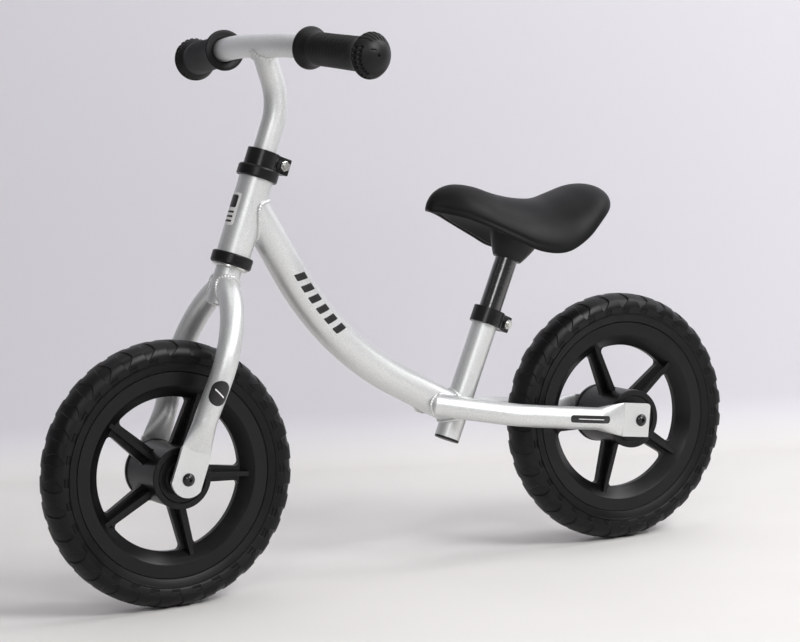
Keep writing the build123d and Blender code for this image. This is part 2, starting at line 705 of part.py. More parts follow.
stem_path = FilletPolyline(
    head.from_local_coords((0, 0, STEM_BOTTOM)), STEM_BEND, CROSSBAR_CENTRE, radius=STEM_BEND_R
)
with BuildPart() as handlebar_stem:
    add(swept_rod(stem_path, FORK_TUBE_R).part)
    add(swept_rod(stem_path, FORK_TUBE_R - TUBE_WALL).part, mode=Mode.SUBTRACT)
    add(crossbar_core.part, mode=Mode.SUBTRACT)
finish(handlebar_stem, "handlebar_stem")

grip_direction = (on_bar(GRIP_START + 1) - on_bar(GRIP_START)).normalized()
grip_section = Plane(
    origin=on_bar(GRIP_START), x_dir=grip_direction, z_dir=grip_direction.cross(Vector(0, 0, 1)).normalized()
)
knob_sphere_r = (KNOB_R**2 + KNOB_HEIGHT**2) / (2 * KNOB_HEIGHT)
knob_sphere_x = GRIP_LENGTH + KNOB_HEIGHT - knob_sphere_r
knob_half_angle = atan2(KNOB_R, GRIP_LENGTH - knob_sphere_x) / 2
knob_shoulder = (
    knob_sphere_x + knob_sphere_r * cos(knob_half_angle),
    knob_sphere_r * sin(knob_half_angle),
)
with BuildPart() as grip_left:
    bore = FORK_TUBE_R + 0.05
    tube_stop = (BAR_END - GRIP_START) / cos(radians(SWEEP_ANGLE)) + 0.3
    with BuildSketch(grip_section):
        with BuildLine():
            Polyline(
                (tube_stop, 0),
                (tube_stop, bore),
                (-1.0, bore),
                (-4.0, 21.6),
                (-2.0, 22.6),
                (0.8, 22.6),
                (3.0, 21.4),
                (8.0, 18.2),
                (13.0, 17.2),
                (50.0, 17.6),
                (94.0, 17.3),
                (98.5, 18.6),
                (103.0, KNOB_R - 1),
                (GRIP_LENGTH, KNOB_R),
            )
            ThreePointArc((GRIP_LENGTH, KNOB_R), knob_shoulder, (GRIP_LENGTH + KNOB_HEIGHT, 0))
            Line((GRIP_LENGTH + KNOB_HEIGHT, 0), (tube_stop, 0))
        make_face()
    revolve(axis=Axis(on_bar(GRIP_START), grip_direction))
finish(grip_left, "grip_left")
grip_right = mirrored(grip_left)
finish(grip_right, "grip_right")

# ---------------------------------------------------------------- seat
POST_BORE_R = FORK_TUBE_R - TUBE_WALL

with BuildPart() as seat_post:
    with BuildSketch(seat.offset(POST_BOTTOM)):
        Circle(FORK_TUBE_R)
        Circle(POST_BORE_R, mode=Mode.SUBTRACT)
    extrude(amount=POST_TOP - POST_BOTTOM)
finish(seat_post, "seat_post")

# saddle stations: distance behind the middle, half width, edge height, top height
SADDLE_STATIONS = [
    (-48.0, 14.0, 398.5, 410.0),
    (-62.0, 23.0, 394.5, 421.5),
    (-84.0, 36.0, 386.5, 425.0),
    (-120.0, 49.0, 367.5, 414.5),
    (-152.0, 57.0, 350.5, 405.5),
    (-180.0, 65.0, 344.5, 402.8),
    (-208.0, 67.0, 355.0, 407.0),
    (-238.0, 60.0, 375.0, 414.5),
    (-258.0, 46.0, 388.5, 413.5),
    (-268.0, 30.0, 394.0, 408.0),
]
PAD_THICKNESS = 24.0
SHELL_THICKNESS = 3.5
SKIRT_LIP = 4.0


with BuildPart() as saddle_cushion:
    for x, half_width, edge, top in SADDLE_STATIONS:
        rise = top - edge
        under = max(edge + 1.5, top - PAD_THICKNESS)
        with BuildSketch(Plane(origin=(x, 0, 0), x_dir=(0, 1, 0), z_dir=(1, 0, 0))):
            with BuildLine():
                Spline(
                    (-half_width, edge),
                    (-0.78 * half_width, edge + 0.62 * rise),
                    (0, top),
                    (0.78 * half_width, edge + 0.62 * rise),
                    (half_width, edge),
                )
                Line((half_width, edge), (half_width - SKIRT_LIP, edge))
                Spline((half_width - SKIRT_LIP, edge), (0, under), (SKIRT_LIP - half_width, edge))
                Line((SKIRT_LIP - half_width, edge), (-half_width, edge))
            make_face()
    loft()
finish(saddle_cushion, "saddle_cushion")

with BuildPart() as saddle_base:
    for x, half_width, edge, top in SADDLE_STATIONS[1:-1]:
        under = max(edge + 1.5, top - PAD_THICKNESS) - 0.4
        shell_half = half_width - SKIRT_LIP - 3.0
        low_edge = edge + 0.6
        with BuildSketch(Plane(origin=(x, 0, 0), x_dir=(0, 1, 0), z_dir=(1, 0, 0))):
            with BuildLine():
                Spline((-shell_half, low_edge), (0, under), (shell_half, low_edge))
                Line((shell_half, low_edge), (shell_half - 2, low_edge))
                Spline((shell_half - 2, low_edge), (0, under - SHELL_THICKNESS), (2 - shell_half, low_edge))
                Line((2 - shell_half, low_edge), (-shell_half, low_edge))
            make_face()
    loft()
    with BuildSketch(seat.offset(SADDLE_BOSS_BOTTOM)):
        Circle(16.2)
    with BuildSketch(seat.offset(236.0)):
        Ellipse(29.0, 22.0)
    with BuildSketch(seat.offset(262.0)):
        Ellipse(36.0, 26.0)
    loft()
    add(saddle_cushion.part, mode=Mode.SUBTRACT)
    with BuildSketch(seat.offset(SADDLE_BOSS_BOTTOM - 1)):
        Circle(FORK_TUBE_R + 0.05)
    extrude(amount=POST_TOP + 1.2 - SADDLE_BOSS_BOTTOM, mode=Mode.SUBTRACT)
    with BuildSketch(seat.offset(POST_TOP)):
        Circle(4.2)
    extrude(amount=30, mode=Mode.SUBTRACT)
    with BuildSketch(seat.offset(248.0)):
        Circle(8.0)
    extrude(amount=30, mode=Mode.SUBTRACT)
finish(saddle_base, "saddle_base")

with BuildPart() as seat_post_insert:
    with BuildSketch(seat.offset(POST_TOP - 16)):
        Circle(POST_BORE_R)
        Circle(4.05, mode=Mode.SUBTRACT)
    extrude(amount=15.8)
finish(seat_post_insert, "seat_post_insert")

with BuildPart() as saddle_bolt:
    with BuildSketch(seat.offset(POST_TOP - 14)):
        Circle(4.0)
    extrude(amount=248.0 - POST_TOP + 14)
    with BuildSketch(seat.offset(248.0)):
        Circle(6.5)
        RegularPolygon(radius=2.5, side_count=6, major_radius=False, mode=Mode.SUBTRACT)
    extrude(amount=4.5)
finish(saddle_bolt, "saddle_bolt")
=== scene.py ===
import json
import math

import bpy
from mathutils import Matrix, Vector
from mathutils.bvhtree import BVHTree


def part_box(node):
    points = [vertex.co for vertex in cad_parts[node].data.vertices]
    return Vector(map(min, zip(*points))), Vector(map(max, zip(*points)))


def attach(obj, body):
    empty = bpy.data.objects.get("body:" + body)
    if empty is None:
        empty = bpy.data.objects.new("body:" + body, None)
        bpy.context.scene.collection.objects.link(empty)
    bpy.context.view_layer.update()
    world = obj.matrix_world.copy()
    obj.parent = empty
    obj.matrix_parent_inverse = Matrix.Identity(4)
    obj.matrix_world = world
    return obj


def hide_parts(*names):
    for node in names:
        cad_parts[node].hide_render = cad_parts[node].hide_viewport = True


# Looks for the balance bike. Metres, +X forward, +Y to the rider's left, +Z up, as in the CAD.

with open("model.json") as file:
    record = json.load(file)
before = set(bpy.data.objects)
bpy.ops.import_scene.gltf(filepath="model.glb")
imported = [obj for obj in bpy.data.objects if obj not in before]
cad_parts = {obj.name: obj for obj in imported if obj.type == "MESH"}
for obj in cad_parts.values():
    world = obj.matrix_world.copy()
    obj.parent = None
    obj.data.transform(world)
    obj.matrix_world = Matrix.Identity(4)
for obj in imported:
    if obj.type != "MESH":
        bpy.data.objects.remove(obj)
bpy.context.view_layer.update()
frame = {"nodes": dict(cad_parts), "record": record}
nodes = frame["nodes"]
scene = bpy.context.scene

MM = 0.001
TURN = 2 * math.pi
SIDES = ((1, "left"), (-1, "right"))


# ---------------------------------------------------------------- material helpers
def new_material(name):
    material = bpy.data.materials.new(name)
    material.use_nodes = True
    return material, material.node_tree, material.node_tree.nodes["Principled BSDF"]


def noise(tree, scale, detail=2.0, stretch=None):
    """Noise in object space; stretch squeezes it along X, Y and Z."""
    node = tree.nodes.new("ShaderNodeTexNoise")
    node.inputs["Scale"].default_value = scale
    node.inputs["Detail"].default_value = detail
    coordinates = tree.nodes.new("ShaderNodeTexCoord").outputs["Object"]
    if stretch is not None:
        mapping = tree.nodes.new("ShaderNodeMapping")
        mapping.inputs["Scale"].default_value = stretch
        tree.links.new(coordinates, mapping.inputs["Vector"])
        coordinates = mapping.outputs["Vector"]
    tree.links.new(coordinates, node.inputs["Vector"])
    return node.outputs["Fac"]


def cells(tree, scale):
    """Distance to the nearest point of a random set, for pebbled grain."""
    node = tree.nodes.new("ShaderNodeTexVoronoi")
    node.inputs["Scale"].default_value = scale
    coordinates = tree.nodes.new("ShaderNodeTexCoord").outputs["Object"]
    tree.links.new(coordinates, node.inputs["Vector"])
    return node.outputs["Distance"]


def ramp(tree, factor, low, high, low_at=0.3, high_at=0.7):
    """Maps a factor to a number between low and high."""
    node = tree.nodes.new("ShaderNodeMapRange")
    node.inputs["From Min"].default_value = low_at
    node.inputs["From Max"].default_value = high_at
    node.inputs["To Min"].default_value = low
    node.inputs["To Max"].default_value = high
    tree.links.new(factor, node.inputs["Value"])
    return node.outputs["Result"]


def colours(tree, factor, dark, light, low_at=0.3, high_at=0.7):
    """Maps a factor to a colour between dark and light."""
    node = tree.nodes.new("ShaderNodeValToRGB")
    node.color_ramp.elements[0].position = low_at
    node.color_ramp.elements[0].color = (*dark, 1)
    node.color_ramp.elements[1].position = high_at
    node.color_ramp.elements[1].color = (*light, 1)
    tree.links.new(factor, node.inputs["Fac"])
    return node.outputs["Color"]


def bump(tree, shader, height, distance, strength=1.0, normal=None):
    """Adds a bump of the given height in metres, on top of an earlier one if it is given."""
    node = tree.nodes.new("ShaderNodeBump")
    node.inputs["Distance"].default_value = distance
    node.inputs["Strength"].default_value = strength
    tree.links.new(height, node.inputs["Height"])
    if normal is not None:
        tree.links.new(normal, node.inputs["Normal"])
    tree.links.new(node.outputs["Normal"], shader.inputs["Normal"])
    return node.outputs["Normal"]


# ---------------------------------------------------------------- materials
def silver_paint():
    """Silver metallic powder coat: fine flakes, and a slight orange peel."""
    material, tree, shader = new_material("silver_powder_coat")
    flakes = noise(tree, 1700, 2.0)
    patches = noise(tree, 14, 3.0)
    shader.inputs["Metallic"].default_value = 0.85
    silver = colours(tree, flakes, (0.60, 0.61, 0.605), (0.84, 0.85, 0.845), 0.35, 0.65)
    tree.links.new(silver, shader.inputs["Base Color"])
    tree.links.new(ramp(tree, patches, 0.42, 0.48), shader.inputs["Roughness"])
    shader.inputs["Coat Weight"].default_value = 0.12
    shader.inputs["Coat Roughness"].default_value = 0.2
    normal = bump(tree, shader, noise(tree, 380, 2.0), 0.00016, 0.6)
    bump(tree, shader, flakes, 0.00002, 0.5, normal)
    return material


def black_plastic(name, base, rough, grain_scale, grain_depth, coat=0.0, pebbled=False, shine=0.3):
    """Black moulded plastic, rubber or coating, with a fine surface grain and slight patchiness."""
    material, tree, shader = new_material(name)
    patches = noise(tree, 25, 3.0)
    dark = tuple(0.75 * c for c in base)
    light = tuple(1.25 * c for c in base)
    tree.links.new(colours(tree, patches, dark, light), shader.inputs["Base Color"])
    tree.links.new(ramp(tree, patches, rough - 0.05, rough + 0.05), shader.inputs["Roughness"])
    shader.inputs["Specular IOR Level"].default_value = shine
    shader.inputs["Coat Weight"].default_value = coat
    shader.inputs["Coat Roughness"].default_value = 0.15
    grain = cells(tree, grain_scale) if pebbled else noise(tree, grain_scale, 2.0)
    bump(tree, shader, grain, grain_depth, 0.6)
    return material


def bare_metal(name, dark, light, rough):
    """Plated or ground steel with fine streaks."""
    material, tree, shader = new_material(name)
    grain = noise(tree, 900, 2.0, (1, 1, 4))
    shader.inputs["Metallic"].default_value = 1.0
    tree.links.new(colours(tree, grain, dark, light), shader.inputs["Base Color"])
    tree.links.new(ramp(tree, grain, rough - 0.08, rough + 0.08), shader.inputs["Roughness"])
    bump(tree, shader, grain, 0.00003, 0.4)
    return material


looks = {
    "frame_paint": silver_paint(),
    "black_coating": black_plastic("black_powder_coat", (0.006, 0.006, 0.0065), 0.30, 700, 0.00010, 0.1),
    "post_coating": black_plastic(
        "black_textured_coat", (0.008, 0.008, 0.009), 0.20, 380, 0.00045, coat=0.9, shine=0.7,
    ),
    "black_nylon": black_plastic("black_nylon", (0.005, 0.005, 0.0055), 0.36, 1200, 0.00005),
    "wheel_nylon": black_plastic("wheel_nylon", (0.0035, 0.0035, 0.0037), 0.34, 1500, 0.00004),
    "tyre_foam": black_plastic("tyre_foam", (0.003, 0.003, 0.0031), 0.42, 900, 0.00008, shine=0.25),
    "grip_rubber": black_plastic("grip_rubber", (0.003, 0.003, 0.0031), 0.46, 1100, 0.00006),
    "seal_rubber": black_plastic("seal_rubber", (0.006, 0.006, 0.006), 0.5, 1100, 0.00005),
    "saddle_cover": black_plastic(
        "saddle_cover", (0.0025, 0.0025, 0.0028), 0.5, 1400, 0.00008, pebbled=True, shine=0.2,
    ),
    "saddle_plastic": black_plastic("saddle_plastic", (0.004, 0.004, 0.004), 0.42, 900, 0.00005),
    "black_steel": black_plastic("black_steel", (0.006, 0.006, 0.006), 0.24, 900, 0.00003, 0.3),
    "zinc": bare_metal("bright_zinc", (0.52, 0.52, 0.50), (0.74, 0.74, 0.72), 0.26),
    "bearing_steel": bare_metal("bearing_steel", (0.55, 0.55, 0.55), (0.75, 0.75, 0.75), 0.2),
}
slot_of = {row["node"]: row["material_slot"] for row in frame["record"]["subparts"]}


# ---------------------------------------------------------------- shared mesh helpers
def new_piece(name, points, faces, body, slot, replaced=(), sharp=40):
    """A mesh piece in the row frame that rides on a body and takes its look from a material slot."""
    mesh = bpy.data.meshes.new(name)
    mesh.from_pydata([tuple(p) for p in points], [], faces)
    mesh.validate()
    mesh.update()
    mesh.materials.append(looks[slot])
    piece = bpy.data.objects.new(name, mesh)
    scene.collection.objects.link(piece)
    mesh.shade_smooth()
    mesh.set_sharp_from_angle(angle=math.radians(sharp))
    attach(piece, body)
    if replaced:
        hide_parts(*replaced)
    return piece


def grid_faces(rows, columns, closed_rows=False, closed_columns=False):
    """Quads of a grid of points stored row after row."""
    faces = []
    for i in range(rows if closed_rows else rows - 1):
        for j in range(columns if closed_columns else columns - 1):
            a = i * columns + j
            b = i * columns + (j + 1) % columns
            c = (i + 1) % rows * columns + (j + 1) % columns
            d = (i + 1) % rows * columns + j
            faces.append((a, b, c, d))
    return faces


def smooth_step(x, low, high):
    """Rises smoothly from 0 at low to 1 at high."""
    t = min(max((x - low) / (high - low), 0.0), 1.0)
    return t * t * (3 - 2 * t)


def smooth_table(table, x, column):
    """Looks up a column of a table whose rows start with rising x, on a smooth curve through the rows."""
    last = len(table) - 1
    index = 0
    while index < last - 1 and x > table[index + 1][0]:
        index += 1
    x0, x1 = table[index][0], table[index + 1][0]
    v0, v1 = table[index][column], table[index + 1][column]

    def slope(k):
        before, after = table[max(k - 1, 0)], table[min(k + 1, last)]
        return (after[column] - before[column]) / (after[0] - before[0])

    span = x1 - x0
    t = min(max((x - x0) / span, 0.0), 1.0)
    m0, m1 = slope(index) * span, slope(index + 1) * span
    rise = v1 - v0
    return v0 + m0 * t + (3 * rise - 2 * m0 - m1) * t**2 + (m0 + m1 - 2 * rise) * t**3


# ---------------------------------------------------------------- CAD nodes: materials and softened edges
def soften(node, width):
    """Rounds a CAD node's hard edges by a modifier, without touching its mesh."""
    weld = node.modifiers.new("weld", "WELD")
    weld.merge_threshold = 0.00001
    bevel = node.modifiers.new("bevel", "BEVEL")
    bevel.width = width
    bevel.segments = 2
    bevel.limit_method = "ANGLE"
    bevel.angle_limit = math.radians(35)
    bevel.harden_normals = False
    shade = node.modifiers.new("weighted_normal", "WEIGHTED_NORMAL")
    shade.keep_sharp = True


EDGE_ROUNDING = {
    "seat_clamp_collar": 0.7,
    "stem_clamp_collar": 0.7,
    "front_wheel_moulding": 0.7,
    "rear_wheel_moulding": 0.7,
    "front_hub_covers": 0.4,
    "rear_hub_covers": 0.4,
    "upper_headset_bush": 0.4,
    "lower_headset_bush": 0.4,
    "front_axle_bolts": 0.2,
    "rear_axle_bolts": 0.2,
    "stem_clamp_bolt": 0.3,
    "seat_clamp_bolt": 0.3,
    "stem_clamp_nut": 0.4,
    "seat_clamp_nut": 0.4,
    "seat_tube_plug": 0.3,
    "fork_blade_left": 0.4,
    "fork_blade_right": 0.4,
    "chainstay_left": 0.4,
    "chainstay_right": 0.4,
}
for name, node in nodes.items():
    for index in range(len(node.material_slots)):
        node.material_slots[index].material = looks[slot_of[name]]
    if name in EDGE_ROUNDING:
        soften(node, EDGE_ROUNDING[name] * MM)

# ---------------------------------------------------------------- places
# the axles and the wheel size come from the frame; the angles and the seat tube's foot repeat the CAD's
front_low, front_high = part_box("front_tyre")
rear_low, rear_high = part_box("rear_tyre")
WHEEL_RADIUS = (front_high[2] - front_low[2]) / 2
FRONT_AXLE = Vector(((front_low[0] + front_high[0]) / 2, 0, WHEEL_RADIUS))
REAR_AXLE = Vector(((rear_low[0] + rear_high[0]) / 2, 0, WHEEL_RADIUS))
HEAD_TILT = math.radians(21.7)
SEAT_TILT = math.radians(24.2)
HEAD_AXIS = Vector((-math.sin(HEAD_TILT), 0, math.cos(HEAD_TILT)))
SEAT_AXIS = Vector((-math.sin(SEAT_TILT), 0, math.cos(SEAT_TILT)))
SEAT_FOOT = Vector((-58.3, 0, 142.1)) * MM


def on_head(across, height):
    """A point given sideways and up the steering axis from the front axle, in millimetres."""
    return FRONT_AXLE + Vector((0, across * MM, 0)) + HEAD_AXIS * (height * MM)


# ---------------------------------------------------------------- tyres
LUGS = 32
# half profile in millimetres: the plain part from the rim groove outwards, as (radius, sideways)
TYRE_PLAIN = [
    (101.2, 11.5), (109.4, 12.4), (109.9, 15.6), (110.8, 16.7), (113.0, 17.6), (116.0, 18.5),
    (118.4, 19.1), (119.0, 19.9), (119.8, 20.1), (120.3, 19.4), (121.0, 19.7),
]
# and the tread up to the crown: (radius, sideways, cut depth, where the cut starts and ends within one pitch)
TYRE_TREAD = [
    (121.4, 19.9, 0.9, 0.05, 0.47),
    (123.3, 20.4, 1.0, 0.05, 0.47),
    (123.7, 20.5, 0.2, 0.05, 0.47),
    (124.7, 20.8, 0.2, 0.05, 0.47),
    (125.1, 20.9, 1.0, 0.05, 0.47),
    (126.8, 21.3, 0.9, 0.05, 0.47),
    (127.2, 21.4, 0, 0.04, 0.46),
    (127.9, 21.5, 0.1, 0.0, 0.20),
    (128.4, 21.5, 0.38, -0.03, 0.10),
    (130.5, 21.0, 0.9, -0.06, 0.22),
    (133.0, 20.1, 1.27, -0.08, 0.34),
    (135.6, 18.7, 1.58, -0.10, 0.44),
    (137.2, 17.2, 1.65, -0.10, 0.46),
    (138.5, 15.2, 1.5, -0.09, 0.45),
    (140.0, 12.5, 1.27, -0.07, 0.42),
    (141.3, 9.3, 1.05, -0.04, 0.38),
    (142.2, 5.8, 0.83, 0.0, 0.33),
    (142.45, 3.0, 0.6, 0.03, 0.29),
    (142.5, 1.2, 0.22, 0.05, 0.26),
]
TYRE_PROFILE = [(radius, across, 0, 0.05, 0.47) for radius, across in TYRE_PLAIN] + TYRE_TREAD
CUT_WALL = 0.04             # width of a cut's sloping wall, as part of a pitch
CUT_MIDDLES = (0.30, 0.50, 0.70)
LUG_COLUMNS = (0.0, 0.05, 0.2, 0.4, 0.6, 0.8, 0.95)


def tyre_half(side, phase):
    """Rows of points from the rim to the crown on one side of a tyre, centred on the origin."""
    rows = []
    for index, (radius, across, depth, start, end) in enumerate(TYRE_PROFILE):
        before = TYRE_PROFILE[max(index - 1, 0)]
        after = TYRE_PROFILE[min(index + 1, len(TYRE_PROFILE) - 1)]
        along = Vector((after[0] - before[0], after[1] - before[1])).normalized()
        low_radius = radius - abs(along.y) * depth
        low_across = across - abs(along.x) * depth
        width = end - start
        row = []
        for lug in range(LUGS):
            stops = [(start, False), (start + CUT_WALL, True)]
            stops += [(start + width * part, True) for part in CUT_MIDDLES]
            stops += [(end - CUT_WALL, True)]
            stops += [(end + (1 - width) * part, False) for part in LUG_COLUMNS]
            for place, sunk in stops:
                angle = TURN * (lug + place + phase) / LUGS
                r = low_radius if sunk else radius
                y = low_across if sunk else across
                row.append((r * math.cos(angle), side * y, r * math.sin(angle)))
        rows.append(row)
    return rows


def make_tyre(end_name, axle, body):
    """A foam tyre with its tread blocks, side notches and bead line as real shape."""
    rows = tyre_half(1, 0.0) + tyre_half(-1, 0.5)[::-1]
    points = [Vector(p) * MM + axle for row in rows for p in row]
    per_pitch = 3 + len(CUT_MIDDLES) + len(LUG_COLUMNS)
    columns = per_pitch * LUGS
    half = len(TYRE_PROFILE)
    shift = per_pitch // 2
    faces = []
    for i in range(2 * half):
        for j in range(columns):
            after = (i + 1) % (2 * half)
            # the right side lies half a pitch further on, so its columns are counted back there
            turn_here = 0 if i < half else -shift
            turn_next = 0 if after < half else -shift
            a = i * columns + (j + turn_here) % columns
            b = i * columns + (j + 1 + turn_here) % columns
            c = after * columns + (j + 1 + turn_next) % columns
            d = after * columns + (j + turn_next) % columns
            faces.append((a, b, c, d))
    return new_piece(f"{end_name}_tyre_tread", points, faces, body, "tyre_foam", [f"{end_name}_tyre"], 26)


make_tyre("front", FRONT_AXLE, "front_wheel")
make_tyre("rear", REAR_AXLE, "rear_wheel")

# ---------------------------------------------------------------- grips
SWEEP = math.tan(math.radians(8.8))
DROP = math.radians(36)
CROSSBAR_CENTRE = Vector((149.5, 0, 588))
GRIP_START = 103            # sideways from the middle of the crossbar
SWEPT = 41                  # the part of that which lies past the crossbar's bend
GRIP_ROOT = CROSSBAR_CENTRE + Vector(
    (-SWEPT * SWEEP * math.cos(DROP), GRIP_START, -SWEPT * SWEEP * math.sin(DROP))
)
GRIP_WAY = Vector((-SWEEP * math.cos(DROP), 1, -SWEEP * math.sin(DROP))).normalized()
GRIP_FRONT = Vector((1, 0, 0)) - GRIP_WAY * GRIP_WAY.x
GRIP_FRONT.normalize()
GRIP_UP = GRIP_FRONT.cross(GRIP_WAY)
KNOB_SPHERE_R = 26.3
KNOB_SPHERE_AT = 95.7
RIB_PITCH = 2.6
RIB_DEPTH = 0.38
BARREL_END = 92.5
PIT_ROWS = ((103.4, 32, 10), (108.4, 25, 9), (113.0, 30, 8))    # along, degrees of the first, count
SLASHES = 7


def grip_point(along, radius, angle):
    """A point on the left grip; the angle starts at the front and rises over the top."""
    around = GRIP_FRONT * math.cos(angle) + GRIP_UP * math.sin(angle)
    return GRIP_ROOT + GRIP_WAY * along + around * radius


def revolved(profile, columns, radius_change=None):
    """Points and faces of a turned shape on the left grip's axis; profile rows are (along, radius)."""
    points = []
    for along, radius in profile:
        for j in range(columns):
            angle = TURN * j / columns
            change = radius_change(along, angle, radius) if radius_change else 0.0
            points.append(grip_point(along, max(radius + change, 0.01), angle))
    return points, grid_faces(len(profile), columns, closed_columns=True)


def both_sides(name, points, faces, replaced_left=(), replaced_right=(), sharp=40):
    """A grip piece on the left and its mirror image on the right."""
    left = [p * MM for p in points]
    right = [Vector((p.x, -p.y, p.z)) * MM for p in points]
    new_piece(f"{name}_left", left, faces, "handlebar", "grip_rubber", replaced_left, sharp)
    flipped = [tuple(reversed(face)) for face in faces]
    new_piece(f"{name}_right", right, flipped, "handlebar", "grip_rubber", replaced_right, sharp)


def barrel_ribs(along, angle, radius):
    """Fine rings on the barrel, strongest on top where the palm rests."""
    reach = smooth_step(along, 13, 20) * (1 - smooth_step(along, 84, 92))
    top = 0.45 + 0.55 * max(math.sin(angle), 0.0)
    return RIB_DEPTH * reach * top * math.sin(TURN * along / RIB_PITCH)


def make_grip_barrel():
    """The inner flange, recessed round the bar, and the ribbed barrel."""
    profile = [(-0.2, 13.2), (-1.6, 14.0), (-2.2, 16.0), (-2.4, 18.0), (-2.6, 20.0)]
    profile += [(-2.4, 21.6), (-1.4, 22.5)]
    profile += [(0.2, 22.6), (1.6, 22.2), (3.4, 21.0), (5.2, 19.6), (7.6, 18.4), (10.0, 17.7), (12.0, 17.4)]
    along = 12.6
    while along < BARREL_END:
        profile.append((along, 17.2 + 0.5 * smooth_step(along, 30, 92)))
        along += 0.6
    profile += [(94.0, 17.9), (98.0, 18.4), (101.0, 18.6)]
    points, faces = revolved(profile, 96, barrel_ribs)
    both_sides("grip_barrel", points, faces, ["grip_left"], ["grip_right"])


def dimple(distance, radius, depth):
    """Depth of a round pit at a distance from its middle."""
    return -depth * (1 - smooth_step(distance, 0.5 * radius, radius))


def knob_marks(along, angle, radius):
    """Pits, slashes, a hole and a slot moulded into the end knob."""
    turned = math.atan2(math.sin(angle), math.cos(angle))
    change = 0.0
    for row_along, first, count in PIT_ROWS:
        if abs(along - row_along) > 3.5:
            continue
        for k in range(count):
            centre = math.radians(first - 13.0 * k)
            across = (turned - centre) * max(radius, 8)
            distance = math.hypot((along - row_along) * 1.2, across)
            change = min(change, dimple(distance, 2.2, 1.9))
    if 99 < along < 119 and turned > 0.5:
        for k in range(SLASHES):
            line = math.radians(52 + 15 * k + 2.0 * (along - 108))
            across = abs(turned - line) * radius
            ends = smooth_step(along, 100, 103) * (1 - smooth_step(along, 114, 117))
            change = min(change, -1.2 * ends * (1 - smooth_step(across, 0.5, 1.5)))
    up_off = radius * math.sin(angle)
    front_off = radius * math.cos(angle)
    if along > 110:
        change = min(change, dimple(math.hypot(up_off - 1.0, front_off - 1.5), 1.9, 1.8))
        slot_off = max(abs(front_off - 7.0) - 2.2, 0.0)
        change = min(change, dimple(math.hypot(slot_off, up_off - 7.0), 1.0, 0.9))
    return change


def make_grip_knob():
    """The domed end knob with its moulded marks."""
    profile = [(92.0, 16.6), (94.5, 17.9), (96.5, 18.7), (98.5, 20.0)]
    profile += [(100.0 + 0.4 * k, 21.2 + 0.2 * k) for k in range(12)]
    profile += [(104.9, 23.75), (105.3, 24.0), (105.8, 24.15)]
    lean = math.acos((106.2 - KNOB_SPHERE_AT) / KNOB_SPHERE_R)
    dome_rows = 58
    for k in range(dome_rows + 1):
        angle = lean * (1 - k / dome_rows)
        profile.append((KNOB_SPHERE_AT + KNOB_SPHERE_R * math.cos(angle), KNOB_SPHERE_R * math.sin(angle)))
    columns = 260
    points = []
    for along, radius in profile:
        for j in range(columns):
            angle = TURN * j / columns
            depth = knob_marks(along, angle, radius)
            out = Vector((max(along - KNOB_SPHERE_AT, 0.0), max(radius, 0.02))).normalized()
            points.append(grip_point(along + out.x * depth, max(radius + out.y * depth, 0.02), angle))
    faces = grid_faces(len(profile), columns, closed_columns=True)
    both_sides("grip_knob", points, faces)


make_grip_barrel()
make_grip_knob()

# ---------------------------------------------------------------- saddle cushion
SADDLE_NOSE = -44.5
SADDLE_TAIL = -270.0
# sections: (degrees round a half circle from the nose to the tail, half width, edge height, top height)
SADDLE_SECTIONS = [
    (0, 0.3, 400, 400),
    (10, 7, 398, 406.5),
    (20, 11.5, 397.5, 414.5),
    (30, 18, 395.5, 420.5),
    (45, 33, 389.5, 425),
    (60, 43.5, 378, 421.5),
    (75, 51, 363.5, 411.5),
    (90, 58.5, 348.5, 404.5),
    (105, 65.5, 345.5, 402.5),
    (120, 67, 358.5, 408.5),
    (135, 61, 376.5, 414.5),
    (150, 49.5, 388, 414),
    (165, 31, 394.5, 408),
    (172, 19, 397, 404.5),
    (180, 0.3, 400, 400),
]
SADDLE_RIM = [(0.5, -1.3), (2.0, -1.9), (3.6, -1.3), (4.6, 0.2)]     # the turned edge: inset, lift
SADDLE_PAD = 24.0
SEAM_HEIGHT = 5.0           # above the edge
SEAM_DEPTH = 0.9
# where the mesh has its rings, closer together at the ends
SADDLE_STATIONS = [SADDLE_NOSE, -44.8, -45.4, -46.4, -48.2, -51, -55, -60]
SADDLE_STATIONS += [-66 - 6 * k for k in range(33)]
SADDLE_STATIONS += [-262, -265, -267.2, -268.6, -269.4, -269.8, SADDLE_TAIL]


def saddle_section(x):
    """One closed loop round the cushion at x, in millimetres from the middle of the wheelbase."""
    middle = (SADDLE_NOSE + SADDLE_TAIL) / 2
    reach = (SADDLE_NOSE - SADDLE_TAIL) / 2
    degrees = math.degrees(math.acos(min(max((x - middle) / reach, -1.0), 1.0)))
    half, edge, top = (smooth_table(SADDLE_SECTIONS, degrees, column) for column in (1, 2, 3))
    rise = top - edge
    under = max(edge + 1.5, top - SADDLE_PAD)
    lip = min(half / 14, 1.0)
    seam_depth = SEAM_DEPTH * lip * (1 - smooth_step(-x, 150, 190))
    loop = []
    for k in range(-30, 31):
        angle = math.radians(3 * k)
        y = half * math.sin(angle)
        z = edge + rise * math.cos(angle)
        seam = math.exp(-(((z - edge - SEAM_HEIGHT) / 1.1) ** 2)) if rise > 8 else 0.0
        loop.append((x, y - math.copysign(seam * seam_depth, y), z))
    loop += [(x, half - lip * inset, edge + lip * lift) for inset, lift in SADDLE_RIM]
    arch_half = half - lip * 5.0
    for k in range(1, 20):
        y = arch_half * (1 - k / 10)
        z = edge + (under - edge) * (1 - (y / max(half - lip * 4, 0.1)) ** 2) + 0.3 * lip
        loop.append((x, y, z))
    loop += [(x, -half + lip * inset, edge + lip * lift) for inset, lift in reversed(SADDLE_RIM)]
    return loop


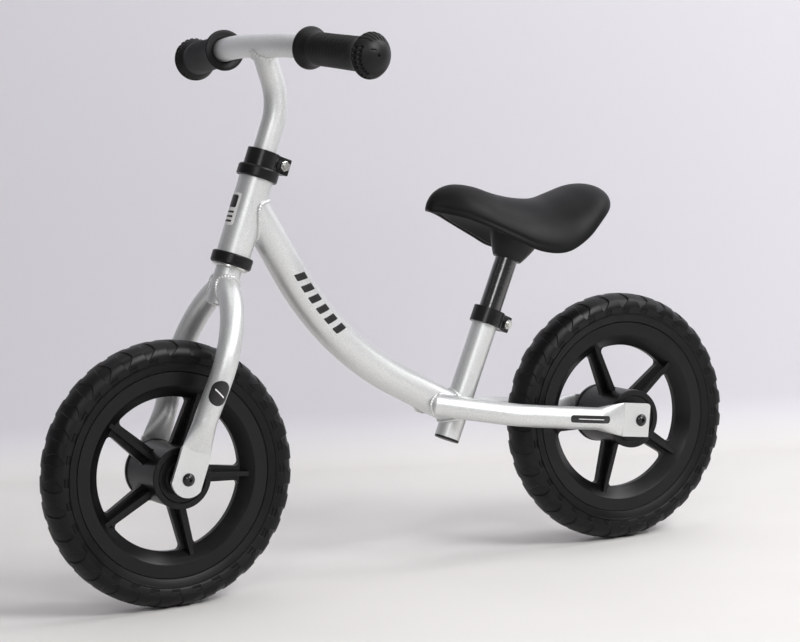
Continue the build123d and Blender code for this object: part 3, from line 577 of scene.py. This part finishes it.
def make_saddle():
    """The padded cover, closed at both ends and rounded by a modifier."""
    sections = [saddle_section(x) for x in SADDLE_STATIONS]
    count = len(sections[0])
    points = [Vector(p) * MM for section in sections for p in section]
    faces = grid_faces(len(sections), count, closed_columns=True)
    faces.append(tuple(range(count)))
    faces.append(tuple(reversed(range((len(sections) - 1) * count, len(sections) * count))))
    cushion = new_piece("saddle_cover", points, faces, "seat", "saddle_cover", ["saddle_cushion"], 60)
    rounded = cushion.modifiers.new("rounding", "SUBSURF")
    rounded.levels = 1
    rounded.render_levels = 1


make_saddle()


# ---------------------------------------------------------------- weld beads
BEAD_STEP = 0.7             # between a bead's rings, in millimetres
BEAD_SIDES = 10
HIT_LIFT = 0.0009           # a bead's middle stands this far off the surface, in metres
GAP = 6 * MM                # a longer step than this splits a run
SHORTEST_RUN = 5            # points; shorter runs are left out


def tree_of(hosts):
    """A ray-casting tree over CAD nodes, in the row frame."""
    corners, triangles = [], []
    for name in hosts:
        node = nodes[name]
        start = len(corners)
        corners += [node.matrix_world @ v.co for v in node.data.vertices]
        for polygon in node.data.polygons:
            triangles.append([start + i for i in polygon.vertices])
    return BVHTree.FromPolygons(corners, triangles)


def weld_runs(hosts, start, way, radius, reach, steps=96):
    """Where rays along a tube's surface meet the hosts: lists of points, split where they jump."""
    tree = tree_of(hosts)
    way = way.normalized()
    side = way.orthogonal().normalized()
    other = way.cross(side)
    hits = []
    for k in range(steps):
        angle = TURN * k / steps
        origin = start + (side * math.cos(angle) + other * math.sin(angle)) * radius
        hit, normal = tree.ray_cast(origin, way, reach)[:2]
        if hit is not None:
            hit = hit + normal * HIT_LIFT
        hits.append(hit)
    broken = [
        k for k in range(steps)
        if hits[k] is None or hits[k - 1] is None or (hits[k] - hits[k - 1]).length > GAP
    ]
    if not broken:
        return [(hits, True)]
    runs, run = [], []
    for k in range(broken[0], broken[0] + steps):
        if k % steps in broken:
            if len(run) > SHORTEST_RUN:
                runs.append((run, False))
            run = []
        if hits[k % steps] is not None:
            run.append(hits[k % steps])
    if len(run) > SHORTEST_RUN:
        runs.append((run, False))
    return runs


def evenly_spaced(points, closed, step):
    """The same line with points a fixed step apart."""
    line = points + [points[0]] if closed else points
    lengths = [0.0]
    for p, q in zip(line, line[1:]):
        lengths.append(lengths[-1] + (q - p).length)
    count = max(int(lengths[-1] / step), 8)
    result = []
    index = 0
    for k in range(count if closed else count + 1):
        target = lengths[-1] * k / count
        while index < len(line) - 2 and lengths[index + 1] < target:
            index += 1
        span = max(lengths[index + 1] - lengths[index], 1e-9)
        result.append(line[index].lerp(line[index + 1], min((target - lengths[index]) / span, 1.0)))
    return result


def bead_tube(line, closed, way, bead):
    """Points and faces of a rippled tube along a line of points; open lines taper at their ends."""
    points, faces = [], []
    count = len(line)
    for k, p in enumerate(line):
        before = line[k - 1] if closed or k else p
        after = line[(k + 1) % count] if closed or k < count - 1 else p
        along = (after - before).normalized()
        across = along.cross(way).normalized()
        out = across.cross(along)
        ripple = 1 + 0.13 * math.sin(TURN * k * BEAD_STEP / 3.1)
        ripple += 0.05 * math.sin(TURN * k * BEAD_STEP / 11.0)
        if not closed:
            ripple *= math.sqrt(min(1.0, 0.15 + min(k, count - 1 - k) / 4))
        for j in range(BEAD_SIDES):
            angle = TURN * j / BEAD_SIDES
            around = across * math.cos(angle) + out * math.sin(angle)
            points.append(p + around * (bead * MM * ripple))
    for k in range(count if closed else count - 1):
        for j in range(BEAD_SIDES):
            here, there = k * BEAD_SIDES, (k + 1) % count * BEAD_SIDES
            beside = (j + 1) % BEAD_SIDES
            faces.append((here + j, here + beside, there + beside, there + j))
    if not closed:
        faces.append(tuple(reversed(range(BEAD_SIDES))))
        faces.append(tuple((count - 1) * BEAD_SIDES + j for j in range(BEAD_SIDES)))
    return points, faces


def make_weld(name, body, hosts, start, way, radius, bead=2.1, reach=0.12):
    """A rippled weld bead where a tube meets the hosts."""
    points, faces = [], []
    for run, closed in weld_runs(hosts, start, way, radius, reach):
        more_points, more_faces = bead_tube(evenly_spaced(run, closed, BEAD_STEP * MM), closed, way, bead)
        faces += [tuple(i + len(points) for i in face) for face in more_faces]
        points += more_points
    return new_piece(name, points, faces, body, "frame_paint", (), 60)


MAIN_TUBE_TOP = Vector((173.3, 0, 423.1)) * MM
MAIN_TUBE_WAY = Vector((-89.0, 0, -163.9)).normalized()
STAY_START = Vector((-36.0, 14.0, 183.4)) * MM
STAY_WAY = Vector((-89.0, 30.0, -18.8)).normalized()
TUBE_R = 12.7 * MM
HEAD_WELD_R = 17.95 * MM
SEAT_WELD_R = 15.8 * MM
SEAT_HOSTS = ["main_tube", "chainstay_left", "chainstay_right"]
STAY_END_OUT = 19.0 * MM    # sideways from the middle, where a stay's end meets the main tube's side
FORK_CROWN = 213.2          # up the steering axis from the front axle, where the blades meet
head_start = MAIN_TUBE_TOP + MAIN_TUBE_WAY * 0.08
make_weld("head_weld", "frame", ["head_tube"], head_start, -MAIN_TUBE_WAY, HEAD_WELD_R)
seat_start = SEAT_FOOT + SEAT_AXIS * 0.09
make_weld("seat_upper_weld", "frame", SEAT_HOSTS, seat_start, -SEAT_AXIS, SEAT_WELD_R, 1.6)
seat_start = SEAT_FOOT + SEAT_AXIS * 0.001
make_weld("seat_lower_weld", "frame", SEAT_HOSTS, seat_start, SEAT_AXIS, SEAT_WELD_R, 1.6, 0.05)


def make_stay_end(side, label):
    """The rounded front end of a chainstay, which bulges most on its outer side, and its weld."""
    mirror = Vector((1, side, 1))
    way = -STAY_WAY * mirror
    start = STAY_START * mirror - way * 0.001
    outer = Vector((0, side, 0))
    outer = (outer - way * outer.dot(way)).normalized()
    rise = way.cross(outer)
    rows, columns = 16, 48

    def dome(along, angle):
        bulge = (3.0 + 4.5 * max(math.cos(angle), 0.0)) * MM
        flat = outer * math.cos(angle) + rise * math.sin(angle)
        return start + way * (bulge * math.sin(along)) + flat * ((TUBE_R - 0.0001) * math.cos(along))

    points = [
        dome(math.pi / 2 * i / rows, TURN * j / columns)
        for i in range(rows)
        for j in range(columns)
    ]
    faces = grid_faces(rows, columns, closed_columns=True)
    tip = len(points)
    points.append(start + way * 3 * MM)
    last = (rows - 1) * columns
    faces += [(last + j, last + (j + 1) % columns, tip) for j in range(columns)]
    faces.append(tuple(reversed(range(columns))))
    new_piece(f"stay_end_{label}", points, faces, "frame", "frame_paint", (), 60)
    line = []
    for k in range(-42, 43):
        angle = math.radians(2 * k)
        for i in range(61):
            p = dome(math.pi / 2 * i / 60, angle)
            if abs(p.y) < STAY_END_OUT:
                break
        if abs(dome(0.0, angle).y) >= STAY_END_OUT:
            line.append(p + way * 0.0004)
    bead_points, bead_faces = bead_tube(evenly_spaced(line, False, BEAD_STEP * MM), False, way, 1.7)
    new_piece(f"stay_end_weld_{label}", bead_points, bead_faces, "frame", "frame_paint", (), 60)


for side, label in SIDES:
    make_stay_end(side, label)
    mirror = Vector((1, side, 1))
    stay_way = STAY_WAY * mirror
    make_weld(
        f"stay_weld_{label}", "frame", ["main_tube", "seat_tube"],
        STAY_START * mirror + stay_way * 0.05, -stay_way, TUBE_R - 0.0003, 1.9, 0.0495,
    )
    blade_top = on_head(side * 0.5, FORK_CROWN)
    blade_way = (on_head(side * 66.4, 163.5) - blade_top).normalized()
    other = "right" if side > 0 else "left"
    make_weld(
        f"blade_weld_{label}", "fork", ["steerer_tube", f"fork_blade_{other}"],
        blade_top + blade_way * 0.05, -blade_way, TUBE_R - 0.0001, 2.0, 0.06,
    )
STEM_BEND = on_head(0, 413.3)
stem_way = (CROSSBAR_CENTRE * MM - STEM_BEND).normalized()
make_weld(
    "stem_weld", "handlebar", ["handlebar_crossbar"],
    CROSSBAR_CENTRE * MM - stem_way * 0.04, stem_way, TUBE_R - 0.0001, 2.2, 0.06,
)


# ---------------------------------------------------------------- plain printed labels
def print_look(name, dark, light):
    """Ink or film of an even colour with a slight grain."""
    material, tree, shader = new_material(name)
    patches = noise(tree, 300, 2.0)
    tree.links.new(colours(tree, patches, dark, light), shader.inputs["Base Color"])
    shader.inputs["Roughness"].default_value = 0.35
    bump(tree, shader, noise(tree, 900, 2.0), 0.00003, 0.4)
    return material


BLACK_PRINT = print_look("black_print", (0.008, 0.008, 0.008), (0.014, 0.014, 0.014))
WHITE_PRINT = print_look("white_print", (0.72, 0.72, 0.71), (0.82, 0.82, 0.81))
ON_TOP = 0.26               # lift of a mark printed on another label, in millimetres


def stadium(length, height, radius):
    """Half the length of a rounded bar at each height, from -1 to 1."""
    def half_length(b):
        drop = max(abs(b) * height / 2 - (height / 2 - radius), 0.0)
        return length / 2 - radius + math.sqrt(max(radius**2 - drop**2, 0.0))
    return half_length


def make_label(name, host, body, centre, along, out, length, height, radius, look, slant=0.0, lift=0.12):
    """A thin rounded bar laid on a tube; along is its long way, out is where it faces."""
    tree = tree_of([host])
    out = (out - along * out.dot(along)).normalized()
    rise = out.cross(along)
    half_length = stadium(length, height, radius)
    columns = max(int(length), 6)
    rows = max(int(height / 0.8), 6)
    points = []
    for i in range(rows + 1):
        b = -math.cos(math.pi * i / rows)
        for j in range(columns + 1):
            a = (2 * j / columns - 1) * half_length(b) + slant * b * height / 2
            above = centre + along * (a * MM) + rise * (b * height / 2 * MM) + out * 0.04
            hit, normal = tree.ray_cast(above, -out, 0.08)[:2]
            points.append(hit + normal * (lift * MM))
    piece = new_piece(name, points, grid_faces(rows + 1, columns + 1), body, "black_coating", (), 60)
    piece.data.materials[0] = look
    thick = piece.modifiers.new("thickness", "SOLIDIFY")
    thick.thickness = (lift + 0.1) * MM
    thick.offset = -1.0
    return piece


LEFT = Vector((0, 1, 0))
HEAD_FRONT = Vector((math.cos(HEAD_TILT), 0, math.sin(HEAD_TILT)))
BEND_CORNER = Vector((84.3, 0, 259.2))
TUBE_BEND_R = 330.0
BAR_COUNT = 6
FIRST_BAR = 5               # along the bend from its start, in millimetres
BAR_PITCH = 15
BAR_TURN = 0.22             # radians from sideways towards the inside of the bend
tube_out = Vector((-155.7, 0, -88.0)).normalized()
tube_turn = MAIN_TUBE_WAY.angle(tube_out)
tube_inward = Vector((-0.8788, 0, 0.4772))
arc_start = BEND_CORNER - MAIN_TUBE_WAY * (TUBE_BEND_R * math.tan(tube_turn / 2))
arc_middle = arc_start + tube_inward * TUBE_BEND_R
for number in range(BAR_COUNT):
    angle = (FIRST_BAR + BAR_PITCH * number) / TUBE_BEND_R
    inward = tube_inward * math.cos(angle) - MAIN_TUBE_WAY * math.sin(angle)
    heading = MAIN_TUBE_WAY * math.cos(angle) + tube_inward * math.sin(angle)
    place = (arc_middle - inward * TUBE_BEND_R) * MM
    for side, label in SIDES:
        out = (LEFT * side * math.cos(BAR_TURN) + inward * math.sin(BAR_TURN)).normalized()
        make_label(
            f"main_bar_{number}_{label}", "main_tube", "frame", place, heading, out, 8.5, 14.0, 1.2,
            BLACK_PRINT, 0.35 * side,
        )

badge_out = HEAD_FRONT * math.cos(0.02) + LEFT * math.sin(0.02)
make_label(
    "head_badge", "head_tube", "frame", on_head(0, 289), HEAD_AXIS, badge_out, 36, 19, 2.2,
    WHITE_PRINT,
)
make_label(
    "head_badge_disc", "head_tube", "frame", on_head(0, 297.5), HEAD_AXIS, badge_out, 14, 14, 2.0,
    BLACK_PRINT, 0.0, ON_TOP,
)
for number, height in enumerate((285.5, 280.5, 275.5)):
    make_label(
        f"head_badge_bar_{number}", "head_tube", "frame", on_head(0, height), HEAD_AXIS, badge_out,
        2.2, 13, 1.0, BLACK_PRINT, 0.0, ON_TOP,
    )
STAY_LEAN = math.radians(7.8)
OVAL_TURN = 1.45            # radians from the front of the fork towards its side
for side, label in SIDES:
    rearward = Vector((-math.cos(STAY_LEAN), 0, -math.sin(STAY_LEAN)))
    place = REAR_AXLE + Vector((0, side * 0.051, 0)) - rearward * 0.075
    stay_name = f"chainstay_{label}"
    make_label(
        f"stay_pill_{label}", stay_name, "frame", place, rearward, LEFT * side, 54, 8.6, 3.6,
        BLACK_PRINT,
    )
    make_label(
        f"stay_pill_line_{label}", stay_name, "frame", place, rearward, LEFT * side, 34, 0.8, 0.35,
        WHITE_PRINT, 0.0, ON_TOP,
    )
    outward = HEAD_FRONT * math.cos(OVAL_TURN) + LEFT * side * math.sin(OVAL_TURN)
    place = on_head(side * 55.2, 95)
    blade_name = f"fork_blade_{label}"
    make_label(
        f"blade_oval_{label}", blade_name, "fork", place, HEAD_AXIS, outward, 27, 19, 9.4, BLACK_PRINT,
    )
    make_label(
        f"blade_oval_line_{label}", blade_name, "fork", place, HEAD_AXIS, outward, 1.6, 12, 0.7,
        WHITE_PRINT, 0.5, ON_TOP,
    )

# ---------------------------------------------------------------- camera
camera_data = bpy.data.cameras.new("camera")
camera = bpy.data.objects.new("camera", camera_data)
scene.collection.objects.link(camera)
CAMERA_PLACE = (1.43688, 2.58754, 0.60702)
FOCAL_LENGTH = 121.28       # in millimetres, for a frame 36 mm wide
YAW = math.radians(29.12)
PITCH = math.radians(6.327)
ROLL = math.radians(-2.481)
forward = Vector((-math.sin(YAW) * math.cos(PITCH), -math.cos(YAW) * math.cos(PITCH), -math.sin(PITCH)))
level = forward.cross(Vector((0, 0, 1))).normalized()
upright = level.cross(forward)
right = level * math.cos(ROLL) + upright * math.sin(ROLL)
up = right.cross(forward)
camera.location = CAMERA_PLACE
camera.rotation_mode = "QUATERNION"
camera.rotation_quaternion = Matrix((right, up, -forward)).transposed().to_quaternion()
camera_data.sensor_width = 36
camera_data.lens = FOCAL_LENGTH
camera_data.clip_end = 50
scene.camera = camera
scene.view_settings.view_transform = "Standard"


# ---------------------------------------------------------------- stage and light
def area_light(name, place, target, size, watts):
    """A white rectangular light that faces its target."""
    data = bpy.data.lights.new(name, "AREA")
    data.shape = "RECTANGLE"
    data.size, data.size_y = size
    data.energy = watts
    light = bpy.data.objects.new(name, data)
    scene.collection.objects.link(light)
    light.location = place
    light.rotation_mode = "QUATERNION"
    light.rotation_quaternion = (Vector(target) - Vector(place)).to_track_quat("-Z", "Y")
    return light


def backdrop():
    """A pale floor that curves up into a pale wall behind the bike."""
    wall_way = Vector((forward.x, forward.y, 0)).normalized()
    side_way = Vector((-wall_way.y, wall_way.x, 0))
    start, curve, reach, height = 0.70, 0.07, 6.0, 6.0
    half_width, floor_drop, curve_steps = 8.0, 0.0004, 12
    profile = [(-reach, 0.0), (start, 0.0)]
    for step in range(1, curve_steps + 1):
        angle = math.pi / 2 * step / curve_steps
        profile.append((start + curve * math.sin(angle), curve * (1 - math.cos(angle))))
    profile.append((start + curve, height))
    points = [
        wall_way * distance + side_way * side + Vector((0, 0, rise))
        for distance, rise in profile
        for side in (-half_width, half_width)
    ]
    mesh = bpy.data.meshes.new("studio_sweep")
    towards_camera = [tuple(reversed(face)) for face in grid_faces(len(profile), 2)]
    # more floor behind the sweep, for the views from the other side
    first = len(points)
    for distance in (start, reach):
        points += [
            wall_way * distance + side_way * side - Vector((0, 0, floor_drop))
            for side in (-half_width, half_width)
        ]
    towards_camera.append((first + 1, first, first + 2, first + 3))
    mesh.from_pydata([tuple(p) for p in points], [], towards_camera)
    mesh.shade_smooth()
    sweep = bpy.data.objects.new("studio_sweep", mesh)
    scene.collection.objects.link(sweep)
    material, tree, shader = new_material("pale_backdrop")
    patches = noise(tree, 3, 2.0)
    floor_tint = colours(tree, patches, (0.70, 0.685, 0.665), (0.74, 0.725, 0.705))
    height_node = tree.nodes.new("ShaderNodeSeparateXYZ")
    place = tree.nodes.new("ShaderNodeTexCoord").outputs["Object"]
    tree.links.new(place, height_node.inputs["Vector"])
    blend = tree.nodes.new("ShaderNodeMix")
    blend.data_type = "RGBA"
    tree.links.new(ramp(tree, height_node.outputs["Z"], 0.0, 1.0, 0.002, 0.05), blend.inputs["Factor"])
    tree.links.new(floor_tint, blend.inputs["A"])
    blend.inputs["B"].default_value = (0.70, 0.69, 0.735, 1)
    tree.links.new(blend.outputs["Result"], shader.inputs["Base Color"])
    shader.inputs["Roughness"].default_value = 0.75
    # seen from behind, the sweep lets every ray through, so that it hides nothing from the other sides
    clear = tree.nodes.new("ShaderNodeBsdfTransparent")
    mixed = tree.nodes.new("ShaderNodeMixShader")
    facing = tree.nodes.new("ShaderNodeNewGeometry")
    tree.links.new(facing.outputs["Backfacing"], mixed.inputs["Fac"])
    tree.links.new(shader.outputs["BSDF"], mixed.inputs[1])
    tree.links.new(clear.outputs["BSDF"], mixed.inputs[2])
    tree.links.new(mixed.outputs["Shader"], tree.nodes["Material Output"].inputs["Surface"])
    mesh.materials.append(material)


backdrop()
world = bpy.data.worlds.new("world")
scene.world = world
world.use_nodes = True
world.node_tree.nodes["Background"].inputs["Color"].default_value = (0.90, 0.90, 0.93, 1)
world.node_tree.nodes["Background"].inputs["Strength"].default_value = 0.24
area_light("key", (-0.9, 2.5, 2.3), (0, 0, 0.3), (1.3, 1.3), 80)
area_light("front", (1.9, 2.9, 1.9), (0, 0, 0.3), (1.0, 1.0), 22)
area_light("wall", (-2.2, 0.6, 2.4), (-0.8, -1.1, 0.6), (1.2, 1.2), 34)
area_light("top", (0.0, 0.0, 2.6), (0, 0, 0.2), (1.8, 0.8), 8)
